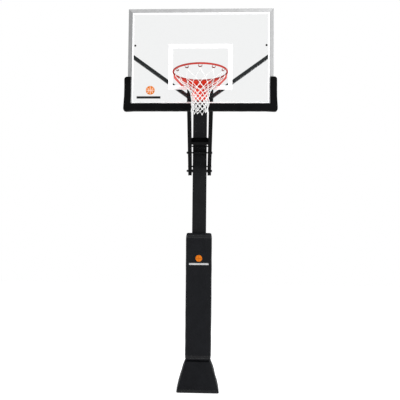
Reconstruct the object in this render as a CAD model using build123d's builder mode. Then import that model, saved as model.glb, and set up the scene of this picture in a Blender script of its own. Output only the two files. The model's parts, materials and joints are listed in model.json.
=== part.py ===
"""In-ground adjustable basketball hoop: square pole, parallel lift arms, crank jack,
framed glass board and a breakaway rim.

Millimetres. +X is the shooter's right, the board faces -Y, +Z is up. The origin is the centre
of the base plate's underside, on the pole's axis. The hoop is drawn at its highest setting,
with the ring at 3048 mm.
"""
from build123d import *
from math import atan2, cos, degrees, hypot, radians, sin
import os

os.makedirs("parts", exist_ok=True)

# ---------------------------------------------------------------- driving dimensions
# heights and reach
RING_HEIGHT = 3048.0            # top of the ring, highest setting
LOWEST_RING_HEIGHT = 2286.0     # top of the ring, lowest setting
BOARD_FACE_Y = -1025.0          # front face of the glass
RING_REACH = 381.0              # ring centre in front of the glass

# base and pole
BASE_SIZE = 330.0
BASE_THICKNESS = 16.0
ANCHOR_SPACING = 260.0
ANCHOR_HOLE_R = 11.0
GUSSET_REACH = 95.0
GUSSET_HEIGHT = 180.0
GUSSET_THICKNESS = 10.0
POLE_SIZE = 152.4
POLE_WALL = 4.8
POLE_CORNER_R = 9.0
POLE_TOP = 3040.0

# soft covers on the pole
PAD_SIZE = 276.0
PAD_CORNER_R = 22.0
PAD_BOTTOM = 324.0
PAD_TOP = 1691.0
COVER_TOP_SIZE = 280.0
COVER_BOTTOM_SIZE = 460.0
COVER_FOAM = 25.0
COVER_HEIGHT = 320.0
SOFT_GAP = 0.5

# lift linkage: (Y, Z) of the pivots
LOWER_POLE_PIVOT = (0.0, 2383.0)
UPPER_POLE_PIVOT = (-90.0, 2570.0)
LOWER_BOARD_PIVOT = (-830.0, 2870.0)
ARM_INNER_X = 88.0              # inner face of each arm
ARM_WIDTH = 38.0
ARM_HEIGHT = 64.0
ARM_WALL = 3.0
LOWER_ARM_TAIL = 30.0           # how far the lower arm runs on behind its pole pivot
BRACE_DISTANCE = 488.0          # along the lower arm from the pole pivot
TIE_ROD_DISTANCE = 106.0        # along the upper arm from its pole pivot
DOUBLER_HEIGHT = 110.0          # plate that the upper pivot's sleeve is welded to
DOUBLER_BELOW = 22.0            # how far it reaches below the pivot
DOUBLER_THICKNESS = 3.0
SLEEVE_R = 13.2
PIVOT_R = 8.0
BORE_GAP = 0.05                 # radial clearance of every running fit
HEX_FLAT_R = 12.0               # half the width across flats of the pivot bolts' heads

# jack behind the pole
JACK_PIN_Y = 112.0              # cross pin at the rear of the upper arms, highest setting
GEARBOX_Z = 1790.0
CRANK_RADIUS = 140.0
SCREW_R = 10.0
RAM_R = 20.0
RAM_BORE_R = 16.0
OUTER_TUBE_R = 25.0
OUTER_TUBE_BORE_R = 22.0
OUTER_TUBE_TOP = 2330.0

# board
BOARD_WIDTH = 1372.0
BOARD_TOP = 3774.0
BOARD_BOTTOM = 2822.0
RAIL_WIDTH = 36.0
RAIL_DEPTH = 34.0
RAIL_LIP = 3.0                  # rail's front lip in front of the glass
GLASS_THICKNESS = 9.5
GLASS_BITE = 10.0               # how far the glass runs into the rails
GASKET_THICKNESS = 1.8
STRUT_FACE = 32.0
STRUT_WALL = 3.0
UPRIGHT_WIDTH = 36.0
UPRIGHT_DEPTH = 38.0
UPRIGHT_TOP = 2990.0
LUG_THICKNESS = 8.0
LUG_R = 24.0
EDGE_PAD_OUTER_X = 719.0
EDGE_PAD_INNER_X = 655.0
EDGE_PAD_BOTTOM = 2794.0
EDGE_PAD_TOP = 3119.0
EDGE_PAD_FRONT = 15.0           # foam in front of the rail's face
EDGE_PAD_CORNER_R = 26.0

# rim and net
RING_INNER_R = 228.5
RING_ROD_R = 8.0
BRACKET_HALF_WIDTH = 80.0
BRACKET_BOTTOM = 2885.0
BRACKET_WALL = 4.0
RIM_PIVOT = (-1045.0, 3012.0)   # (Y, Z)
RIM_PIVOT_R = 6.0
WING_THICKNESS = 5.5
HOOK_COUNT = 12
NET_BOTTOM = 2668.0
NET_WALL = 6.0

# ---------------------------------------------------------------- worked-out places
POLE_HALF = POLE_SIZE / 2
ARM_OUTER_X = ARM_INNER_X + ARM_WIDTH
LINK_Y = LOWER_BOARD_PIVOT[0] - LOWER_POLE_PIVOT[0]
LINK_Z = LOWER_BOARD_PIVOT[1] - LOWER_POLE_PIVOT[1]
LINK_LENGTH = hypot(LINK_Y, LINK_Z)
LINK_RISE = degrees(atan2(LINK_Z, -LINK_Y))
UPPER_BOARD_PIVOT = (UPPER_POLE_PIVOT[0] + LINK_Y, UPPER_POLE_PIVOT[1] + LINK_Z)
LOWEST_SINE = (LINK_Z - (RING_HEIGHT - LOWEST_RING_HEIGHT)) / LINK_LENGTH
TRAVEL_DEG = LINK_RISE - degrees(atan2(LOWEST_SINE, (1 - LOWEST_SINE**2) ** 0.5))
LEVER = (JACK_PIN_Y - UPPER_POLE_PIVOT[0]) / cos(radians(LINK_RISE))
JACK_PIN = (JACK_PIN_Y, UPPER_POLE_PIVOT[1] - LEVER * sin(radians(LINK_RISE)))
JACK_TRAVEL = LEVER * (sin(radians(LINK_RISE)) + sin(radians(TRAVEL_DEG - LINK_RISE)))
JACK_SWAY = (UPPER_POLE_PIVOT[0] + LEVER - JACK_PIN_Y) / 2
JACK_Y = JACK_PIN_Y + JACK_SWAY

RAIL_FRONT = BOARD_FACE_Y - RAIL_LIP
RAIL_BACK = RAIL_FRONT + RAIL_DEPTH
RAIL_INNER_X = BOARD_WIDTH / 2 - RAIL_WIDTH
FRAME_FRONT = RAIL_BACK + 0.5   # steel frame behind the rails
UPRIGHT_BACK = FRAME_FRONT + UPRIGHT_DEPTH
UPRIGHT_INNER_X = ARM_INNER_X - 0.4
LUG_INNER_X = UPRIGHT_INNER_X - LUG_THICKNESS
GLASS_BACK = BOARD_FACE_Y + GLASS_THICKNESS
RING_CENTRE_Y = BOARD_FACE_Y - RING_REACH
RING_MID_R = RING_INNER_R + RING_ROD_R
RING_MID_Z = RING_HEIGHT - RING_ROD_R
WING_TOP = RING_MID_Z - RING_ROD_R - 0.2
WING_BOTTOM = WING_TOP - WING_THICKNESS


def at_y(y):
    """Plane facing the shooter at depth y: sketch x is X, sketch y is Z."""
    return Plane.XZ.offset(-y)


def at_x(x):
    """Plane facing +X: sketch x is Y, sketch y is Z."""
    return Plane.YZ.offset(x)


def round_bar(radius, x_from, x_to, centre, bore=0.0):
    """Round bar or tube along X, centred on the (Y, Z) point."""
    with BuildPart() as bar:
        with BuildSketch(at_x(x_from)):
            with Locations(centre):
                Circle(radius)
                if bore:
                    Circle(bore, mode=Mode.SUBTRACT)
        extrude(amount=x_to - x_from)
    return bar.part


def post(radius, z_from, z_to, y, bore=0.0):
    """Round bar or tube along Z on the plane X = 0."""
    with BuildPart() as bar:
        with BuildSketch(Plane.XY.offset(z_from)):
            with Locations((0, y)):
                Circle(radius)
                if bore:
                    Circle(bore, mode=Mode.SUBTRACT)
        extrude(amount=z_to - z_from)
    return bar.part


def peg(radius, y_from, y_to, centre, bore=0.0):
    """Round bar or tube along Y, centred on the (X, Z) point."""
    with BuildPart() as bar:
        with BuildSketch(at_y(y_to)):
            with Locations(centre):
                Circle(radius)
                if bore:
                    Circle(bore, mode=Mode.SUBTRACT)
        extrude(amount=y_to - y_from)
    return bar.part


def pivot_bolt(centre):
    """Long hex bolt along X with its nut, through both arms."""
    head_x = ARM_OUTER_X + 0.5
    with BuildPart() as bolt:
        with BuildSketch(at_x(-head_x - 19)):
            with Locations(centre):
                Circle(PIVOT_R)
        extrude(amount=2 * head_x + 19)
        with BuildSketch(at_x(head_x)):
            with Locations(centre):
                RegularPolygon(HEX_FLAT_R, 6, major_radius=False)
        extrude(amount=10)
        chamfer(bolt.edges().group_by(Axis.X)[0], 1.5)
    with BuildPart() as nut:
        with BuildSketch(at_x(-head_x - 13)):
            with Locations(centre):
                RegularPolygon(HEX_FLAT_R, 6, major_radius=False)
                Circle(PIVOT_R + BORE_GAP, mode=Mode.SUBTRACT)
        extrude(amount=13)
    return [bolt.part, nut.part]


def arm(x_inner, start, end, tail):
    """Rectangular tube with radiused side walls, bored for its pivots."""
    run = hypot(end[0] - start[0], end[1] - start[1])
    middle = ((start[0] + end[0]) / 2, (start[1] + end[1]) / 2)
    tail_shift = tail / 2 / run
    centre = (
        middle[0] + (start[0] - end[0]) * tail_shift,
        middle[1] + (start[1] - end[1]) * tail_shift,
    )
    with BuildPart() as tube:
        with BuildSketch(at_x(x_inner)):
            with Locations(centre):
                SlotCenterToCenter(run + tail, ARM_HEIGHT, rotation=-LINK_RISE)
        extrude(amount=ARM_WIDTH)
        with BuildSketch(at_x(x_inner + ARM_WALL)):
            with Locations(centre):
                Rectangle(2 * run, ARM_HEIGHT - 2 * ARM_WALL, rotation=-LINK_RISE)
        extrude(amount=ARM_WIDTH - 2 * ARM_WALL, mode=Mode.SUBTRACT)
        with BuildSketch(at_x(x_inner)):
            with Locations(start, end):
                Circle(PIVOT_R + BORE_GAP)
        extrude(amount=ARM_WIDTH, mode=Mode.SUBTRACT)
    return tube.part


def along(start, distance):
    """Point on an arm's centre line, measured from its pole pivot towards the board."""
    return (
        start[0] - distance * cos(radians(LINK_RISE)),
        start[1] + distance * sin(radians(LINK_RISE)),
    )


def grouped(solids):
    """Several separate solids that share one node."""
    return Compound(children=list(solids))


pieces = {}

# ---------------------------------------------------------------- base and pole
with BuildPart() as base_plate:
    with BuildSketch():
        RectangleRounded(BASE_SIZE, BASE_SIZE, 12)
        with GridLocations(ANCHOR_SPACING, ANCHOR_SPACING, 2, 2):
            Circle(ANCHOR_HOLE_R, mode=Mode.SUBTRACT)
    extrude(amount=BASE_THICKNESS)
pieces["base_plate"] = base_plate.part

gussets = []
for side in range(4):
    side_plane = Plane.XZ.rotated((0, 0, 90 * side)).offset(-GUSSET_THICKNESS / 2)
    with BuildPart() as gusset:
        with BuildSketch(side_plane):
            with BuildLine():
                Polyline(
                    (POLE_HALF, BASE_THICKNESS),
                    (POLE_HALF + GUSSET_REACH, BASE_THICKNESS),
                    (POLE_HALF + GUSSET_REACH, BASE_THICKNESS + 12),
                    (POLE_HALF + 14, BASE_THICKNESS + GUSSET_HEIGHT),
                    (POLE_HALF, BASE_THICKNESS + GUSSET_HEIGHT),
                    close=True,
                )
            make_face()
        extrude(amount=GUSSET_THICKNESS)
    gussets.append(gusset.part)
pieces["base_gussets"] = grouped(gussets)

with BuildPart() as pole_tube:
    with BuildSketch(Plane.XY.offset(BASE_THICKNESS)):
        RectangleRounded(POLE_SIZE, POLE_SIZE, POLE_CORNER_R)
        RectangleRounded(
            POLE_SIZE - 2 * POLE_WALL, POLE_SIZE - 2 * POLE_WALL, POLE_CORNER_R - POLE_WALL,
            mode=Mode.SUBTRACT,
        )
    extrude(amount=POLE_TOP - BASE_THICKNESS)
    with BuildSketch(at_x(0)):
        with Locations(LOWER_POLE_PIVOT):
            Circle(PIVOT_R + BORE_GAP)
    extrude(amount=POLE_SIZE, both=True, mode=Mode.SUBTRACT)
pieces["pole_tube"] = pole_tube.part

with BuildPart() as pole_cap:
    with BuildSketch(Plane.XY.offset(POLE_TOP)):
        RectangleRounded(POLE_SIZE + 4, POLE_SIZE + 4, POLE_CORNER_R + 2)
    extrude(amount=9)
    fillet(pole_cap.edges().group_by(Axis.Z)[-1], 5)
    plug = POLE_SIZE - 2 * POLE_WALL - 1
    with BuildSketch(Plane.XY.offset(POLE_TOP - 30)):
        RectangleRounded(plug, plug, 4)
        RectangleRounded(plug - 6, plug - 6, 2, mode=Mode.SUBTRACT)
    extrude(amount=30)
pieces["pole_cap"] = pole_cap.part

with BuildPart() as pole_pad:
    with BuildSketch(Plane.XY.offset(PAD_BOTTOM)):
        RectangleRounded(PAD_SIZE, PAD_SIZE, PAD_CORNER_R)
    extrude(amount=PAD_TOP - PAD_BOTTOM)
    fillet(pole_pad.edges().group_by(Axis.Z)[-1], 14)
    with BuildSketch(Plane.XY.offset(PAD_BOTTOM)):
        RectangleRounded(POLE_SIZE + 2 * SOFT_GAP, POLE_SIZE + 2 * SOFT_GAP, POLE_CORNER_R)
    extrude(amount=PAD_TOP - PAD_BOTTOM, mode=Mode.SUBTRACT)
pieces["pole_pad"] = pole_pad.part

with BuildPart() as base_cover:
    with BuildSketch():
        RectangleRounded(COVER_BOTTOM_SIZE, COVER_BOTTOM_SIZE, 18)
    with BuildSketch(Plane.XY.offset(COVER_HEIGHT)):
        RectangleRounded(COVER_TOP_SIZE, COVER_TOP_SIZE, 18)
    loft()
    hollow_size = COVER_BOTTOM_SIZE - 2 * COVER_FOAM
    with BuildSketch():
        RectangleRounded(hollow_size, hollow_size, 8)
    with BuildSketch(Plane.XY.offset(COVER_HEIGHT)):
        RectangleRounded(POLE_SIZE + 6, POLE_SIZE + 6, 8)
    loft(mode=Mode.SUBTRACT)
pieces["base_cover"] = base_cover.part

# ---------------------------------------------------------------- pole pivots
pieces["pole_pivot_bolts"] = grouped(pivot_bolt(LOWER_POLE_PIVOT) + pivot_bolt(UPPER_POLE_PIVOT))
with BuildPart() as upper_pivot_sleeve:
    with BuildSketch(at_x(-POLE_HALF)):
        with Locations((-POLE_HALF - 0.1 - DOUBLER_THICKNESS / 2,
                        UPPER_POLE_PIVOT[1] - DOUBLER_BELOW + DOUBLER_HEIGHT / 2)):
            Rectangle(DOUBLER_THICKNESS, DOUBLER_HEIGHT)
        with Locations(UPPER_POLE_PIVOT):
            Circle(SLEEVE_R)
            Circle(PIVOT_R + 0.2, mode=Mode.SUBTRACT)
    extrude(amount=POLE_SIZE)
pieces["upper_pivot_sleeve"] = upper_pivot_sleeve.part
pieces["lower_pivot_spacers"] = grouped(
    round_bar(17, min(a, b), max(a, b), LOWER_POLE_PIVOT, bore=PIVOT_R + 0.2)
    for a, b in (
        (POLE_HALF + 0.1, ARM_INNER_X - 0.2),
        (-POLE_HALF - 0.1, -ARM_INNER_X + 0.2),
    )
)

# ---------------------------------------------------------------- lift arms
for side, x_inner in (("left", -ARM_OUTER_X), ("right", ARM_INNER_X)):
    pieces[f"lower_arm_{side}"] = arm(
        x_inner, LOWER_POLE_PIVOT, LOWER_BOARD_PIVOT, LOWER_ARM_TAIL
    )
    with BuildPart() as upper_arm:
        add(arm(x_inner, JACK_PIN, UPPER_BOARD_PIVOT, 0))
        with BuildSketch(at_x(x_inner)):
            with Locations(UPPER_POLE_PIVOT):
                Circle(PIVOT_R + BORE_GAP)
        extrude(amount=ARM_WIDTH, mode=Mode.SUBTRACT)
    pieces[f"upper_arm_{side}"] = upper_arm.part


def bushes(centres):
    """Welded bush tubes between the side walls of both arms."""
    return grouped(
        round_bar(12, x + ARM_WALL, x + ARM_WIDTH - ARM_WALL, centre, bore=PIVOT_R + BORE_GAP)
        for x in (-ARM_OUTER_X, ARM_INNER_X)
        for centre in centres
    )


pieces["lower_arm_bushes"] = bushes((LOWER_POLE_PIVOT, LOWER_BOARD_PIVOT))
pieces["upper_arm_bushes"] = bushes((JACK_PIN, UPPER_POLE_PIVOT, UPPER_BOARD_PIVOT))

with BuildPart() as lower_arm_brace:
    with BuildSketch(at_x(-ARM_INNER_X)):
        with Locations(along(LOWER_POLE_PIVOT, BRACE_DISTANCE)):
            Rectangle(38, ARM_HEIGHT, rotation=-LINK_RISE)
            Rectangle(38 - 2 * ARM_WALL, ARM_HEIGHT - 2 * ARM_WALL, rotation=-LINK_RISE,
                      mode=Mode.SUBTRACT)
    extrude(amount=2 * ARM_INNER_X)
pieces["lower_arm_brace"] = lower_arm_brace.part

pieces["upper_tie_rod"] = round_bar(
    7, -ARM_INNER_X, ARM_INNER_X, along(UPPER_POLE_PIVOT, TIE_ROD_DISTANCE)
)

with BuildPart() as jack_cross_pin:
    with BuildSketch(at_x(-ARM_OUTER_X - 6)):
        with Locations(JACK_PIN):
            Circle(PIVOT_R)
    extrude(amount=2 * ARM_OUTER_X + 12)
    for x_collar in (-ARM_OUTER_X - 5, ARM_OUTER_X + 1):
        with BuildSketch(at_x(x_collar)):
            with Locations(JACK_PIN):
                Circle(PIVOT_R + 5)
        extrude(amount=4)
pieces["jack_cross_pin"] = jack_cross_pin.part

# ---------------------------------------------------------------- jack
HOUSING_FRONT = POLE_HALF + 8
HOUSING_BACK = JACK_Y + 36
HOUSING_HALF = 38.0
HOUSING_WALL = 4.0
HOUSING_TOP = GEARBOX_Z + 46
HOUSING_BOTTOM = GEARBOX_Z - 38
COVER_BACK = HOUSING_BACK + 6
GEAR_SMALL_R = 20.0
GEAR_LARGE_R = 29.6
GRIP_START = 212.0
GRIP_LENGTH = 100.0

with BuildPart() as jack_mount_plate:
    with BuildSketch(at_y(HOUSING_FRONT - 0.1)):
        with Locations((0, GEARBOX_Z + 4)):
            RectangleRounded(124, 132, 8)
    extrude(amount=HOUSING_FRONT - POLE_HALF - 0.2)
pieces["jack_mount_plate"] = jack_mount_plate.part

housing_middle = (HOUSING_TOP + HOUSING_BOTTOM) / 2
housing_tall = HOUSING_TOP - HOUSING_BOTTOM
with BuildPart() as gearbox_housing:
    with BuildSketch(at_y(HOUSING_BACK)):
        with Locations((0, housing_middle)):
            RectangleRounded(2 * HOUSING_HALF, housing_tall, 10)
    extrude(amount=HOUSING_BACK - HOUSING_FRONT)
    with BuildSketch(at_y(HOUSING_BACK)):
        with Locations((0, housing_middle)):
            RectangleRounded(2 * (HOUSING_HALF - HOUSING_WALL), housing_tall - 2 * HOUSING_WALL, 6)
    extrude(amount=HOUSING_BACK - HOUSING_FRONT - HOUSING_WALL, mode=Mode.SUBTRACT)
    with BuildSketch(Plane.XY.offset(GEARBOX_Z)):
        with Locations((0, JACK_Y)):
            Circle(SCREW_R + 2)
    extrude(amount=HOUSING_TOP - GEARBOX_Z, mode=Mode.SUBTRACT)
pieces["gearbox_housing"] = gearbox_housing.part

with BuildPart() as gearbox_cover:
    with BuildSketch(at_y(COVER_BACK)):
        with Locations((0, housing_middle)):
            RectangleRounded(2 * HOUSING_HALF, housing_tall, 10)
        with Locations((0, GEARBOX_Z)):
            Circle(12, mode=Mode.SUBTRACT)
    extrude(amount=COVER_BACK - HOUSING_BACK)
    with BuildSketch(at_y(COVER_BACK + 10)):
        with Locations((0, GEARBOX_Z)):
            Circle(19)
            Circle(12, mode=Mode.SUBTRACT)
    extrude(amount=10)
pieces["gearbox_cover"] = gearbox_cover.part

pieces["crank_bush"] = peg(
    12, HOUSING_BACK, COVER_BACK + 10, (0, GEARBOX_Z), bore=PIVOT_R + BORE_GAP
)
pieces["jack_outer_tube"] = post(
    OUTER_TUBE_R, HOUSING_TOP, OUTER_TUBE_TOP, JACK_Y, bore=OUTER_TUBE_BORE_R
)
pieces["screw_bearing"] = post(
    OUTER_TUBE_BORE_R, HOUSING_TOP, HOUSING_TOP + 16, JACK_Y, bore=SCREW_R + BORE_GAP
)
pieces["ram_guide_bush"] = post(
    OUTER_TUBE_BORE_R, OUTER_TUBE_TOP - 30, OUTER_TUBE_TOP, JACK_Y, bore=RAM_R + BORE_GAP
)

with BuildPart() as jack_top_clamp:
    clamp_back = JACK_Y + OUTER_TUBE_R + 8
    with BuildSketch(Plane.XY.offset(2255)):
        with Locations((0, (POLE_HALF + 0.1 + clamp_back) / 2)):
            RectangleRounded(74, clamp_back - POLE_HALF - 0.1, 8)
        with Locations((0, JACK_Y)):
            Circle(OUTER_TUBE_R + 0.1, mode=Mode.SUBTRACT)
    extrude(amount=34)
pieces["jack_top_clamp"] = jack_top_clamp.part

HEAD_BOTTOM = JACK_PIN[1] - 26
RAM_BOTTOM = HOUSING_TOP + 44
pieces["ram_tube"] = post(RAM_R, RAM_BOTTOM, HEAD_BOTTOM, JACK_Y, bore=RAM_BORE_R)
pieces["drive_nut"] = post(RAM_BORE_R, RAM_BOTTOM, RAM_BOTTOM + 36, JACK_Y, bore=SCREW_R + BORE_GAP)

with BuildPart() as ram_head:
    slot_half = JACK_SWAY + PIVOT_R + 0.7
    with BuildSketch(at_x(-14)):
        with Locations((JACK_Y, JACK_PIN[1])):
            RectangleRounded(2 * slot_half + 17, 52, 7)
            SlotOverall(2 * slot_half, 2 * PIVOT_R + 6, mode=Mode.SUBTRACT)
    extrude(amount=28)
pieces["ram_head"] = ram_head.part

pieces["lead_screw"] = post(SCREW_R, GEARBOX_Z + 14, 2200, JACK_Y)

with BuildPart() as driven_bevel_gear:
    with BuildSketch(Plane.XY.offset(GEARBOX_Z + GEAR_SMALL_R + 0.5)):
        with Locations((0, JACK_Y)):
            Circle(GEAR_SMALL_R)
    with BuildSketch(Plane.XY.offset(GEARBOX_Z + GEAR_LARGE_R + 0.5)):
        with Locations((0, JACK_Y)):
            Circle(GEAR_LARGE_R)
    loft()
    with BuildSketch(Plane.XY.offset(GEARBOX_Z + GEAR_SMALL_R)):
        with Locations((0, JACK_Y)):
            Circle(SCREW_R)
    extrude(amount=20, mode=Mode.SUBTRACT)
pieces["driven_bevel_gear"] = driven_bevel_gear.part

with BuildPart() as crank_bevel_gear:
    with BuildSketch(at_y(JACK_Y + GEAR_LARGE_R + 0.5)):
        with Locations((0, GEARBOX_Z)):
            Circle(GEAR_LARGE_R)
    with BuildSketch(at_y(JACK_Y + GEAR_SMALL_R + 0.5)):
        with Locations((0, GEARBOX_Z)):
            Circle(GEAR_SMALL_R)
    loft()
    with BuildSketch(at_y(JACK_Y + 60)):
        with Locations((0, GEARBOX_Z)):
            Circle(PIVOT_R)
    extrude(amount=60, mode=Mode.SUBTRACT)
pieces["crank_bevel_gear"] = crank_bevel_gear.part

pieces["crank_shaft"] = peg(PIVOT_R, JACK_Y + 16, GRIP_START - 2, (0, GEARBOX_Z))

crank_end = (0, GEARBOX_Z - CRANK_RADIUS)
with BuildPart() as crank_arm:
    with BuildSketch(at_y(GRIP_START - 2)):
        with Locations((0, GEARBOX_Z - CRANK_RADIUS / 2)):
            SlotCenterToCenter(CRANK_RADIUS, 28, rotation=90)
        with Locations((0, GEARBOX_Z)):
            Circle(PIVOT_R, mode=Mode.SUBTRACT)
    extrude(amount=9)
    with BuildSketch(at_y(GRIP_START + GRIP_LENGTH + 6)):
        with Locations(crank_end):
            Circle(6)
    extrude(amount=GRIP_LENGTH + 8)
    with BuildSketch(at_y(GRIP_START + GRIP_LENGTH + 6)):
        with Locations(crank_end):
            Circle(10)
    extrude(amount=4)
pieces["crank_arm"] = crank_arm.part

with BuildPart() as crank_grip:
    with BuildSketch(at_y(GRIP_START + GRIP_LENGTH)):
        with Locations(crank_end):
            Circle(15)
    extrude(amount=GRIP_LENGTH)
    fillet(crank_grip.edges(), 5)
    with BuildSketch(at_y(GRIP_START + GRIP_LENGTH)):
        with Locations(crank_end):
            Circle(6 + BORE_GAP)
    extrude(amount=GRIP_LENGTH, mode=Mode.SUBTRACT)
pieces["crank_grip"] = crank_grip.part

# ---------------------------------------------------------------- board: glass and rails
BOARD_HALF = BOARD_WIDTH / 2
BOARD_MIDDLE = (BOARD_TOP + BOARD_BOTTOM) / 2
BOARD_HEIGHT = BOARD_TOP - BOARD_BOTTOM
GLASS_WIDTH = 2 * (RAIL_INNER_X + GLASS_BITE)
GLASS_HEIGHT = BOARD_HEIGHT - 2 * (RAIL_WIDTH - GLASS_BITE)
RIM_BOLTS = [(x, z) for x in (-60, 60) for z in (2905, 2970)]
RIM_BOLT_R = 5.0

with BuildPart() as glass_panel:
    with BuildSketch(at_y(GLASS_BACK)):
        with Locations((0, BOARD_MIDDLE)):
            Rectangle(GLASS_WIDTH, GLASS_HEIGHT)
        with Locations(RIM_BOLTS):
            Circle(RIM_BOLT_R + 2, mode=Mode.SUBTRACT)
    extrude(amount=GLASS_THICKNESS)
pieces["glass_panel"] = glass_panel.part

MITRE = {
    "left": [(-BOARD_HALF, BOARD_TOP), (-RAIL_INNER_X, BOARD_TOP - RAIL_WIDTH),
             (-RAIL_INNER_X, BOARD_BOTTOM + RAIL_WIDTH), (-BOARD_HALF, BOARD_BOTTOM)],
    "right": [(BOARD_HALF, BOARD_TOP), (BOARD_HALF, BOARD_BOTTOM),
              (RAIL_INNER_X, BOARD_BOTTOM + RAIL_WIDTH), (RAIL_INNER_X, BOARD_TOP - RAIL_WIDTH)],
    "top": [(-BOARD_HALF, BOARD_TOP), (BOARD_HALF, BOARD_TOP),
            (RAIL_INNER_X, BOARD_TOP - RAIL_WIDTH), (-RAIL_INNER_X, BOARD_TOP - RAIL_WIDTH)],
    "bottom": [(-BOARD_HALF, BOARD_BOTTOM), (-RAIL_INNER_X, BOARD_BOTTOM + RAIL_WIDTH),
               (RAIL_INNER_X, BOARD_BOTTOM + RAIL_WIDTH), (BOARD_HALF, BOARD_BOTTOM)],
}
GROOVE_DEPTH = GLASS_THICKNESS + GASKET_THICKNESS + 0.6
for side, outline in MITRE.items():
    with BuildPart() as rail:
        with BuildSketch(at_y(RAIL_BACK)):
            with BuildLine():
                Polyline(*outline, close=True)
            make_face()
        extrude(amount=RAIL_DEPTH)
        with BuildSketch(at_y(BOARD_FACE_Y - 0.2 + GROOVE_DEPTH)):
            with Locations((0, BOARD_MIDDLE)):
                Rectangle(GLASS_WIDTH + 2, GLASS_HEIGHT + 2)
        extrude(amount=GROOVE_DEPTH, mode=Mode.SUBTRACT)
        with BuildSketch(at_y(RAIL_BACK - 4)):
            with Locations((0, BOARD_MIDDLE)):
                Rectangle(BOARD_WIDTH - 8, BOARD_HEIGHT - 8)
                Rectangle(2 * RAIL_INNER_X + 8, BOARD_HEIGHT - 2 * RAIL_WIDTH + 8,
                          mode=Mode.SUBTRACT)
        extrude(amount=RAIL_DEPTH - GROOVE_DEPTH - 10, mode=Mode.SUBTRACT)
    pieces[f"frame_rail_{side}"] = rail.part

gasket_strips = []
for x, z, width, height in (
    (0, BOARD_TOP - RAIL_WIDTH + 5, 2 * RAIL_INNER_X, 8),
    (0, BOARD_BOTTOM + RAIL_WIDTH - 5, 2 * RAIL_INNER_X, 8),
    (-RAIL_INNER_X - 5, BOARD_MIDDLE, 8, GLASS_HEIGHT),
    (RAIL_INNER_X + 5, BOARD_MIDDLE, 8, GLASS_HEIGHT),
):
    with BuildPart() as strip:
        with BuildSketch(at_y(GLASS_BACK + GASKET_THICKNESS)):
            with Locations((x, z)):
                Rectangle(width, height)
        extrude(amount=GASKET_THICKNESS)
    gasket_strips.append(strip.part)
pieces["glazing_gasket"] = grouped(gasket_strips)

# ---------------------------------------------------------------- board: steel frame
STRUT_SLOPE = 0.727
STRUT_HEIGHT_AT_322 = 3094.0
STRUT_BACK = FRAME_FRONT + STRUT_FACE
half_drop = STRUT_FACE / 2 / cos(atan2(STRUT_SLOPE, 1))
inner_drop = half_drop * (1 - 2 * STRUT_WALL / STRUT_FACE)
UPRIGHT_OUTER_X = UPRIGHT_INNER_X + UPRIGHT_WIDTH


def strut_line(x):
    """Height of the strut's centre line at a distance x from the middle."""
    return STRUT_HEIGHT_AT_322 + STRUT_SLOPE * (x - 322)


for side, sign in (("left", -1), ("right", 1)):
    with BuildPart() as strut:
        for x_in, x_out, drop, back, deep, mode in (
            (UPRIGHT_OUTER_X + 0.2, BOARD_HALF - 14, half_drop, STRUT_BACK, STRUT_FACE, Mode.ADD),
            (UPRIGHT_OUTER_X - 9, BOARD_HALF, inner_drop, STRUT_BACK - STRUT_WALL,
             STRUT_FACE - 2 * STRUT_WALL, Mode.SUBTRACT),
        ):
            with BuildSketch(at_y(back)):
                with BuildLine():
                    Polyline(
                        (sign * x_in, strut_line(x_in) - drop),
                        (sign * x_out, strut_line(x_out) - drop),
                        (sign * x_out, strut_line(x_out) + drop),
                        (sign * x_in, strut_line(x_in) + drop),
                        close=True,
                    )
                make_face()
            extrude(amount=deep, mode=mode)
    pieces[f"strut_{side}"] = strut.part

    with BuildPart() as upright:
        with BuildSketch(at_y(UPRIGHT_BACK)):
            with BuildLine():
                Polyline(
                    (sign * UPRIGHT_INNER_X, BOARD_BOTTOM + 4),
                    (sign * UPRIGHT_OUTER_X, BOARD_BOTTOM + 4),
                    (sign * UPRIGHT_OUTER_X, UPRIGHT_TOP),
                    (sign * UPRIGHT_INNER_X, UPRIGHT_TOP - 22),
                    close=True,
                )
            make_face()
        extrude(amount=UPRIGHT_DEPTH)
        with BuildSketch(at_y(UPRIGHT_BACK - STRUT_WALL)):
            with Locations((sign * (UPRIGHT_INNER_X + UPRIGHT_WIDTH / 2), BOARD_MIDDLE)):
                Rectangle(UPRIGHT_WIDTH - 2 * STRUT_WALL, 2 * BOARD_HEIGHT)
        extrude(amount=UPRIGHT_DEPTH - 2 * STRUT_WALL, mode=Mode.SUBTRACT)
    pieces[f"upright_{side}"] = upright.part

CROSSBAR_HEIGHTS = (BOARD_BOTTOM + 44, UPRIGHT_TOP - 54)
crossbars = []
for height in CROSSBAR_HEIGHTS:
    with BuildPart() as crossbar:
        with BuildSketch(at_x(-LUG_INNER_X + 0.1)):
            with Locations(((FRAME_FRONT + UPRIGHT_BACK) / 2, height)):
                Rectangle(UPRIGHT_DEPTH, UPRIGHT_DEPTH)
                Rectangle(UPRIGHT_DEPTH - 6, UPRIGHT_DEPTH - 6, mode=Mode.SUBTRACT)
        extrude(amount=2 * LUG_INNER_X - 0.2)
    crossbars.append(crossbar.part)
pieces["crossbars"] = grouped(crossbars)

pivot_lugs = []
for x_inner in (-UPRIGHT_INNER_X, LUG_INNER_X):
    with BuildPart() as lug:
        with BuildSketch(at_x(x_inner)):
            with Locations(((FRAME_FRONT + UPRIGHT_BACK) / 2, BOARD_BOTTOM + 92)):
                Rectangle(UPRIGHT_DEPTH - 6, 130)
            with Locations(UPPER_BOARD_PIVOT, LOWER_BOARD_PIVOT):
                Circle(LUG_R)
            make_hull()
            with Locations(UPPER_BOARD_PIVOT, LOWER_BOARD_PIVOT):
                Circle(PIVOT_R + BORE_GAP, mode=Mode.SUBTRACT)
        extrude(amount=LUG_THICKNESS)
    pivot_lugs.append(lug.part)
pieces["pivot_lugs"] = grouped(pivot_lugs)

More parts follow.
